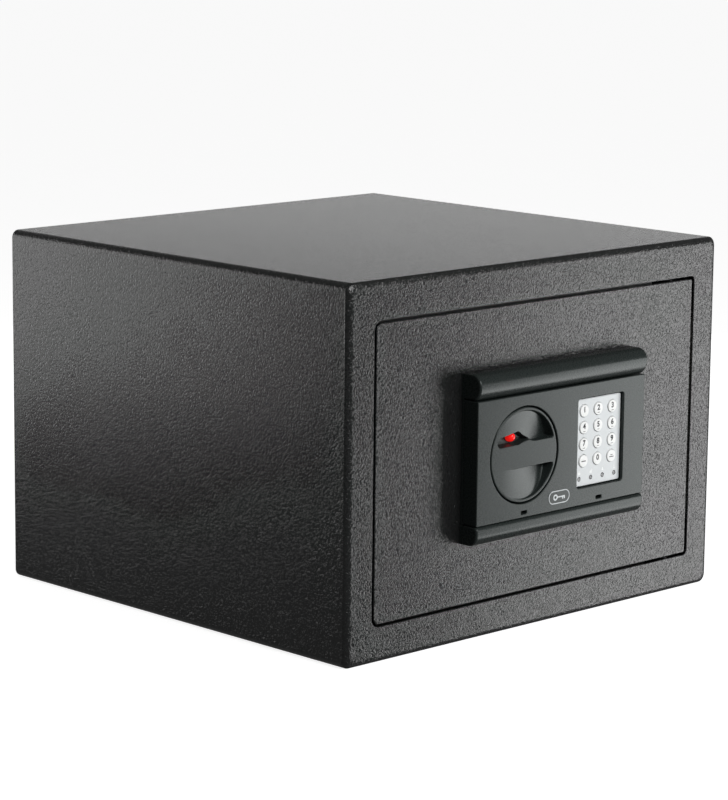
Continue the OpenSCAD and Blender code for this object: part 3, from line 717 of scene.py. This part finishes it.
KNOB_EDGE = 1.0                                 # radius that rounds the face's outer edge
GRIP = 9.2                                      # half the grip bar's width
BULGE, BULGE_AT, BULGE_WIDTH = 2.7, 1.5, 5.5    # the bar's swelling on its upper side
SCOOP_R = 33.5                                  # how far out the scoops reach
SCOOP_DEEP = 9.0
SCOOP_START, SCOOP_RUN, SCOOP_RAMP = -26, 56, 2.4
SIDE_LIFT, SIDE_POWER = 0.45, 1.3               # the floor rises this much towards the rim
GRIP_SLOPE, RIM_SLOPE, POCKET_SLOPE = 8.0, 4.5, 7.0
POCKET_DEEP = 6.5
POCKET_BULB = (-25.2, 11.9), (-7.0, 13.3), 3.7, 4.9
POCKET_TAIL = (-7.0, 13.1), (5.5, 11.6), 4.3, 0.7


def knob_depth(u, w):
    """How deep the knob's face is at (u, w) from its middle: two scoops and the lens pocket."""
    r = np.hypot(u, w)
    across = np.clip((np.abs(w) - GRIP) / (SCOOP_R - GRIP), 0, 1)
    ramped = np.clip((u - SCOOP_START) / SCOOP_RUN, 0, 1) ** SCOOP_RAMP
    floor = SCOOP_DEEP * ramped * (1 - SIDE_LIFT * across ** SIDE_POWER)
    wave = GRIP + BULGE * np.exp(-((u - BULGE_AT) / BULGE_WIDTH) ** 2)
    depth = np.zeros_like(u)
    for inside, corner in ((w - wave, 3.0), (-GRIP - w, 3.5)):
        edge = smooth_min(inside, SCOOP_R - r, corner)
        wall = smooth_min(np.clip(inside, 0, None) * GRIP_SLOPE,
                          np.clip(SCOOP_R - r, 0, None) * RIM_SLOPE, corner)
        here = smooth_min(wall, floor, 3.0)
        depth = np.maximum(depth, np.clip(here, 0, None) * (edge > 0))
    pocket = smooth_max(capsule_distance(u, w, *POCKET_BULB),
                        capsule_distance(u, w, *POCKET_TAIL), 1.5)
    dip = smooth_min(np.clip(pocket, 0, None) * POCKET_SLOPE, np.full_like(u, POCKET_DEEP), 2.0)
    depth = np.maximum(depth, np.clip(dip, 0, None) * (pocket > 0))
    rim = np.clip((r - (knob_r - KNOB_EDGE)) / KNOB_EDGE, 0, 1)
    return depth + KNOB_EDGE * (1 - np.sqrt(1 - rim ** 2 * 0.9999))


def build_knob():
    """The turning knob: a disc with a grip bar between two ramped finger scoops."""
    rings, spokes = 136, 480
    bend = np.sin(np.radians([18, 36, 54, 72, 90]))
    radii = np.concatenate([np.linspace(0.35, knob_r - KNOB_EDGE, rings),
                            knob_r - KNOB_EDGE + KNOB_EDGE * bend])
    angles = np.linspace(0, TAU, spokes, endpoint=False)
    rr, aa = np.meshgrid(radii, angles, indexing="ij")
    u, w = rr * np.cos(aa), rr * np.sin(aa)
    y = knob_y + knob_depth(u, w)
    front = [[(knob_x + u[i, j], y[i, j], knob_z + w[i, j]) for j in range(spokes)]
             for i in range(len(radii))]
    side = [[(knob_x + knob_r * math.cos(a), d, knob_z + knob_r * math.sin(a)) for a in angles]
            for d in (knob_y + 3, knob_back)]
    obj = recalc(loft("turning_knob", front + side))
    obj.data.polygons[-1].use_smooth = False
    return finish_piece(obj, BLACK, "knob_set", "satin_black_moulding", "knob")


def build_lens():
    (x0, y0, z0), (x1, y1, z1) = span("knob_lens")
    cx, cz, r = (x0 + x1) / 2 + 1.6, (z0 + z1) / 2 + 0.7, (x1 - x0) / 2
    profile = [(r, 0), (r, 1.2)]
    height = y1 - y0 + 0.8
    for i in range(1, 13):
        a = math.radians(90 * i / 12)
        profile.append((max(r * math.cos(a), 0.05), 1.2 + (height - 1.2) * math.sin(a)))
    obj = lathe("indicator_lens", profile, (cx, y1, cz), "-Y")
    return finish_piece(obj, RED_LENS, "knob_set", "red_lens", "knob_lens")


# ---------------------------------------------------------------- keypad

KEYS = ["key_1", "key_2", "key_3", "key_4", "key_5", "key_6", "key_7", "key_8", "key_9",
        "key_start", "key_0", "key_enter"]


def build_key(name):
    """A moulded key with a very slightly crowned top and a soft edge, and its print."""
    (x0, y0, z0), (x1, y1, z1) = span(name)
    cx, cz = (x0 + x1) / 2, (z0 + z1) / 2
    flange_r = (x1 - x0) / 2
    r = flange_r - 0.8
    length = y1 - y0
    profile = [(flange_r, 0), (flange_r, length - 2.2), (r, length - 2.2), (r, length - 0.55)]
    for i in range(1, 5):
        a = math.radians(90 * i / 4)
        profile.append((r - 0.5 * (1 - math.cos(a)), length - 0.55 + 0.5 * math.sin(a)))
    profile += [(r * 0.6, length - 0.02), (0.3, length - 0.01)]
    cap = lathe(name + "_cap", profile, (cx, y1, cz), "-Y", 40)
    even_normals(cap)
    finish_piece(cap, KEY_WHITE, name, "white_key_plastic", name)
    top = y0 + 0.02
    label = name.split("_")[1]
    if label.isdigit():
        figure = lettering(name + "_figure", label, 5.8, cx, top, cz + 0.8)
        finish_piece(figure, KEY_PRINT, name, "white_key_plastic")
        if label not in "01":
            under = printed(name + "_mark",
                            rectangle(cx - 1.2, cx + 1.2, cz - 3.1, cz - 2.7, 0.1), top)
            finish_piece(under, KEY_PRINT, name, "white_key_plastic")
        return
    if label == "start":
        marks = [("_bar", rectangle(cx - 2.4, cx + 2.4, cz - 0.45, cz + 0.25, 0.2))]
    else:
        marks = [("_bar_a", rectangle(cx - 1.2, cx + 1.2, cz + 0.6, cz + 1.1, 0.2)),
                 ("_bar_b", rectangle(cx - 2.4, cx + 2.4, cz - 0.9, cz - 0.3, 0.2))]
    for ending, outline in marks:
        mark = printed(name + ending, outline, top)
        finish_piece(mark, KEY_PRINT, name, "white_key_plastic")


def build_keypad_plate():
    """The pale plate round the keys, with a hole for each key and each indicator."""
    holes = []
    for name in KEYS:
        (x0, _, z0), (x1, _, z1) = span(name)
        holes.append(circle((x0 + x1) / 2, (z0 + z1) / 2, (x1 - x0) / 2 - 0.45, 40))
    (x0, _, z0), (x1, _, z1) = span("led_lenses")
    for i in range(4):
        holes.append(circle(x0 + (z1 - z0) / 2 + (x1 - x0 - z1 + z0) * i / 3, (z0 + z1) / 2,
                            (z1 - z0) / 2 - 0.1, 20))
    obj = plate("keypad_face", rectangle(pad_x0 - 0.8, pad_x1, pad_z0, pad_z1, 1.6), holes,
                pad_y, pad_y + 1.0, 0.12, 1)
    finish_piece(obj, SILVER, "door", "silver_print", "keypad_plate")


def build_icons():
    """Small plain signs above the four indicator lenses, and a dark ring round each lens."""
    (x0, _, z0), (x1, _, z1) = span("led_lenses")
    mid = (z0 + z1) / 2
    z = mid + 4.6
    xs = [x0 + 1.38 + (x1 - x0 - 2.76) * i / 3 for i in range(4)]
    signs = []
    for i, (x, shift) in enumerate(zip(xs[:2], (0.0, 0.9))):
        signs.append(("icon_lock_%d" % i, rectangle(x - 1.4, x + 1.4, z - 1.4, z + 0.5, 0.3), []))
        bow = [(x + 1.0 * math.cos(t), z + 0.5 + 1.1 * math.sin(t))
               for t in np.linspace(0, math.pi, 12)]
        bow += [(x + 0.6 * math.cos(t), z + 0.5 + 0.7 * math.sin(t))
                for t in np.linspace(math.pi, 0, 12)]
        signs.append(("icon_bow_%d" % i, [(a + shift, b) for a, b in bow], []))
    x = xs[2]
    bell = [(x - 1.3, z - 1.0), (x + 1.3, z - 1.0), (x + 0.8, z - 0.4), (x + 0.7, z + 0.8),
            (x, z + 1.4), (x - 0.7, z + 0.8), (x - 0.8, z - 0.4)]
    signs.append(("icon_bell", bell, []))
    x = xs[3]
    signs.append(("icon_cell", rectangle(x - 0.8, x + 0.8, z - 1.5, z + 1.2, 0.2),
                  [rectangle(x - 0.45, x + 0.45, z - 0.2, z + 0.8, 0.1)]))
    pieces = [printed(name, outline, pad_y, 0.04, holes) for name, outline, holes in signs]
    for piece in pieces:
        finish_piece(piece, FAINT_PRINT, "door", "silver_print")
    for i, x in enumerate(xs):
        ring = printed("indicator_ring_%d" % i, circle(x, mid, 1.8, 32), pad_y,
                       holes=[circle(x, mid, 1.3, 32)])
        finish_piece(ring, KEY_PRINT, "door", "silver_print")


def build_badge():
    """A plain pill-shaped plate with a raised border and a key sign, in place of any mark."""
    (x0, y0, z0), (x1, y1, z1) = span("badge")
    r = (z1 - z0) / 2
    pill = rectangle(x0, x1, z0, z1, r - 0.01, 10)
    inner = rectangle(x0 + 0.7, x1 - 0.7, z0 + 0.7, z1 - 0.7, r - 0.71, 10)
    border = plate("badge_border", pill, [inner], y0, y1, 0.1, 2)
    finish_piece(border, SILVER, "door", "silver_print", "badge")
    field = plate("badge_field", rectangle(x0 + 0.5, x1 - 0.5, z0 + 0.5, z1 - 0.5, r - 0.52,
                                           10), [],
                  y0 + 0.2, y1, 0.05, 1)
    finish_piece(field, BLACK, "door", "satin_black_moulding")
    cx, cz = (x0 + x1) / 2, (z0 + z1) / 2
    bow = plate("badge_key_bow", circle(cx - 4.0, cz, 2.4, 32), [circle(cx - 4.0, cz, 1.2, 24)],
                y0 + 0.05, y0 + 0.25, 0.04, 1)
    shank = [(cx - 1.8, cz - 0.5), (cx + 3.4, cz - 0.5), (cx + 3.4, cz - 1.9), (cx + 4.5, cz - 1.9),
             (cx + 4.5, cz - 0.5), (cx + 5.3, cz - 0.5), (cx + 5.3, cz - 1.9), (cx + 6.4, cz - 1.9),
             (cx + 6.4, cz + 0.5), (cx - 1.8, cz + 0.5)]
    blade = plate("badge_key_blade", shank, [], y0 + 0.05, y0 + 0.25, 0.04, 1)
    for piece in (bow, blade):
        finish_piece(piece, SILVER, "door", "silver_print")


# ---------------------------------------------------------------- inside the door

def build_cells():
    """Four penlight cells, every second one turned end for end."""
    (x0, y0, z0), (x1, y1, z1) = span("batteries")
    r = (y1 - y0) / 2
    pitch = (x1 - x0 - 2 * r) / 3
    length = 50.5
    profile = [(r - 0.6, 0.0), (r - 0.15, 0.15), (r, 0.6), (r, 48.6), (r - 0.3, 49.1),
               (r - 1.6, 49.3), (2.9, 49.3), (2.7, 49.5), (2.7, 50.2), (2.4, length)]
    parts = []
    for i in range(4):
        x = x0 + r + pitch * i
        up = i % 2 == 0
        low = z0 if up else z1 - length
        points = [(a, d if up else length - d) for a, d in profile]
        if not up:
            points = points[::-1]
        cell = lathe("cell_%d" % i, points, (x, (y0 + y1) / 2, low), "+Z", 32)
        even_normals(cell)
        cell.data.materials.append(SLEEVE)
        parts.append(cell)
    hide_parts("batteries")
    for cell in parts:
        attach(cell, "door")


def build_spring():
    """The plunger's return spring, wound from round wire with closed ends."""
    (x0, y0, z0), (x1, y1, z1) = span("plunger_spring")
    cx, cy = (x0 + x1) / 2, (y0 + y1) / 2
    wire = 0.4
    mean = (x1 - x0) / 2 - wire
    turns, per_turn, sides = 4.0, 40, 10
    count = int(turns * per_turn)
    rings = []
    for i in range(count + 1):
        t = i / count
        a = TAU * turns * t
        ease = t - math.sin(TAU * t) / TAU * 0.6
        z = z0 + wire + (z1 - z0 - 2 * wire) * ease
        ring = []
        for j in range(sides):
            b = TAU * j / sides
            r = mean + wire * math.cos(b)
            ring.append((cx + r * math.cos(a), cy + r * math.sin(a), z + wire * math.sin(b)))
        rings.append(ring)
    obj = recalc(loft("return_spring", rings))
    obj.data.materials.append(BRIGHT)
    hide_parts("plunger_spring")
    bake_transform(obj)


# ---------------------------------------------------------------- stage, light and camera

CAMERA_AZIMUTH = -44.206
CAMERA_ELEVATION = 10.4918
CAMERA_ROLL = 0.6043
CAMERA_DISTANCE = 2462.73
CAMERA_AIM = (2.113, 142.767)
CAMERA_LENS = 138.69


def build_camera():
    az, el, roll_angle = (math.radians(a) for a in (CAMERA_AZIMUTH, CAMERA_ELEVATION, CAMERA_ROLL))
    back = Vector((math.sin(az) * math.cos(el), -math.cos(az) * math.cos(el), math.sin(el)))
    right = (-back).cross(Vector((0, 0, 1))).normalized()
    up = right.cross(-back)
    r = right * math.cos(roll_angle) + up * math.sin(roll_angle)
    u = -right * math.sin(roll_angle) + up * math.cos(roll_angle)
    place = (back * CAMERA_DISTANCE + r * CAMERA_AIM[0] + u * CAMERA_AIM[1]) * MM
    data = bpy.data.cameras.new("camera")
    data.lens = CAMERA_LENS
    data.clip_start, data.clip_end = 0.05, 50
    cam = add_object("camera", data)
    turn = Matrix((r, u, back)).transposed().to_4x4()
    cam.matrix_world = Matrix.Translation(place) @ turn
    bpy.context.scene.camera = cam


def softbox(name, aim, azimuth, elevation, distance, size, radiance):
    """A softbox, in metres, that faces a point from a direction; its brightness is a radiance."""
    az, el = math.radians(azimuth), math.radians(elevation)
    out = Vector((math.cos(az) * math.cos(el), math.sin(az) * math.cos(el), math.sin(el)))
    side = out.cross(Vector((0, 0, 1))).normalized()
    data = bpy.data.lights.new(name, "AREA")
    data.shape = "RECTANGLE"
    data.size, data.size_y = size
    data.energy = radiance * math.pi * size[0] * size[1]
    lamp = add_object(name, data)
    turn = Matrix((-side, side.cross(out), out)).transposed().to_4x4()
    lamp.matrix_world = Matrix.Translation(Vector(aim) + out * distance) @ turn
    lamp.visible_camera = False


def mirror_box(name, surface, normal, distance, across, upright, radiance):
    """A softbox that the camera sees mirrored in a surface: across and upright say how far it
    reaches, in metres, from the point that the camera sees mirrored there."""
    cam = bpy.context.scene.camera.matrix_world.translation
    start, n = Vector(surface) * MM, Vector(normal)
    look = (start - cam).normalized()
    out = look - 2 * look.dot(n) * n
    side = out.cross(Vector((0, 0, 1))).normalized()
    shift = side * (across[0] + across[1]) / 2 + side.cross(out) * (upright[0] + upright[1]) / 2
    softbox(name, start + shift, math.degrees(math.atan2(out.y, out.x)),
            math.degrees(math.asin(out.z)), distance,
            (across[1] - across[0], upright[1] - upright[0]), radiance)


def build_stage():
    """The pale floor, the even light of the room and the softboxes."""
    size = 40.0 / MM
    floor_obj = mesh_object("floor", [(-size, -size, -0.2), (size, -size, -0.2), (size, size, -0.2),
                                      (-size, size, -0.2)], [(0, 1, 2, 3)], smooth=False)
    pale = new_material("pale_floor", Base_Color=(0.6, 0.6, 0.6), Roughness=0.9,
                        Emission_Color=(1.0, 1.0, 1.0), Emission_Strength=0.85)
    floor_obj.data.materials.append(pale)
    floor_obj.visible_glossy = False
    floor_obj.visible_diffuse = False
    floor_obj.visible_shadow = False
    world = bpy.data.worlds.new("studio")
    bpy.context.scene.world = world
    world.use_nodes = True
    world.node_tree.nodes["Background"].inputs["Color"].default_value = (1, 1, 1, 1)
    world.node_tree.nodes["Background"].inputs["Strength"].default_value = 0.15
    mirror_box("front_box", (0, front_y, 139), (0, -1, 0), 1.0, (-0.38, 0.04), (-0.46, 0.38), 4.5)
    mirror_box("side_box", (frame_x0, 0, 139), (-1, 0, 0), 1.0, (-0.16, 0.9), (0.04, 0.7), 2.3)
    mirror_box("back_box", (0, 0, frame_z1), (0, 0, 1), 1.2, (-0.95, 0.95), (-0.5, 0.22), 0.54)
    softbox("glint_box", (0, -0.2, 0.14), -90, 32, 1.3, (0.8, 0.5), 10.0)


# ---------------------------------------------------------------- build

build_camera()
build_stage()

build_front_frame()
build_door_panel()
build_mat()
build_housing()
build_fascia()
build_knob()
build_lens()
build_keypad_plate()
for key in KEYS:
    build_key(key)
build_icons()
build_badge()
build_cells()
build_spring()

dress(PAINT, "body_wrap", "back_panel")
dress(SATIN, "lock_jamb", "door_stops", "hinge_brackets", "inner_cover")
dress(OILED, "hinge_lugs", "hinge_pins", "hinge_washer")
dress(ZINC, "hinge_side_bar", "cover_screws", "bolt_guide", "guide_posts",
      "solenoid_frame", "battery_contacts", "housing_screws", "spindle", "cam_disc", "cam_screw",
      "drive_pin", "bolt_carrier", "reset_switch")
dress(BRIGHT, "bolt_upper", "bolt_lower", "plunger")
dress(BRASS, "spindle_bush")
dress(TAPE, "solenoid_coil")
dress(BOARD, "control_board", "keypad_board")
dress(INNER_PLASTIC, "battery_box", "battery_cover")
dress(RUBBER, "cable_grommet", "key_mat")
dress(CABLE, "lock_cable")
dress(LED, "led_lenses")
dress(RED, "reset_button")

for name, width in (("lock_jamb", 0.6), ("door_stops", 0.5), ("hinge_brackets", 0.8),
                    ("inner_cover", 1.0), ("hinge_lugs", 0.8), ("hinge_side_bar", 0.6),
                    ("bolt_guide", 0.5), ("bolt_carrier", 0.5), ("battery_box", 0.5),
                    ("battery_cover", 0.5), ("reset_button", 0.5), ("reset_switch", 0.3),
                    ("bolt_upper", 0.5), ("bolt_lower", 0.5), ("hinge_pins", 0.4),
                    ("solenoid_frame", 0.3), ("cover_screws", 0.2), ("housing_screws", 0.2),
                    ("back_panel", 0.3), ("led_lenses", 0.15), ("cam_disc", 0.3)):
    soften(name, width)
shade("body_wrap")

bpy.context.scene.view_settings.view_transform = "Standard"
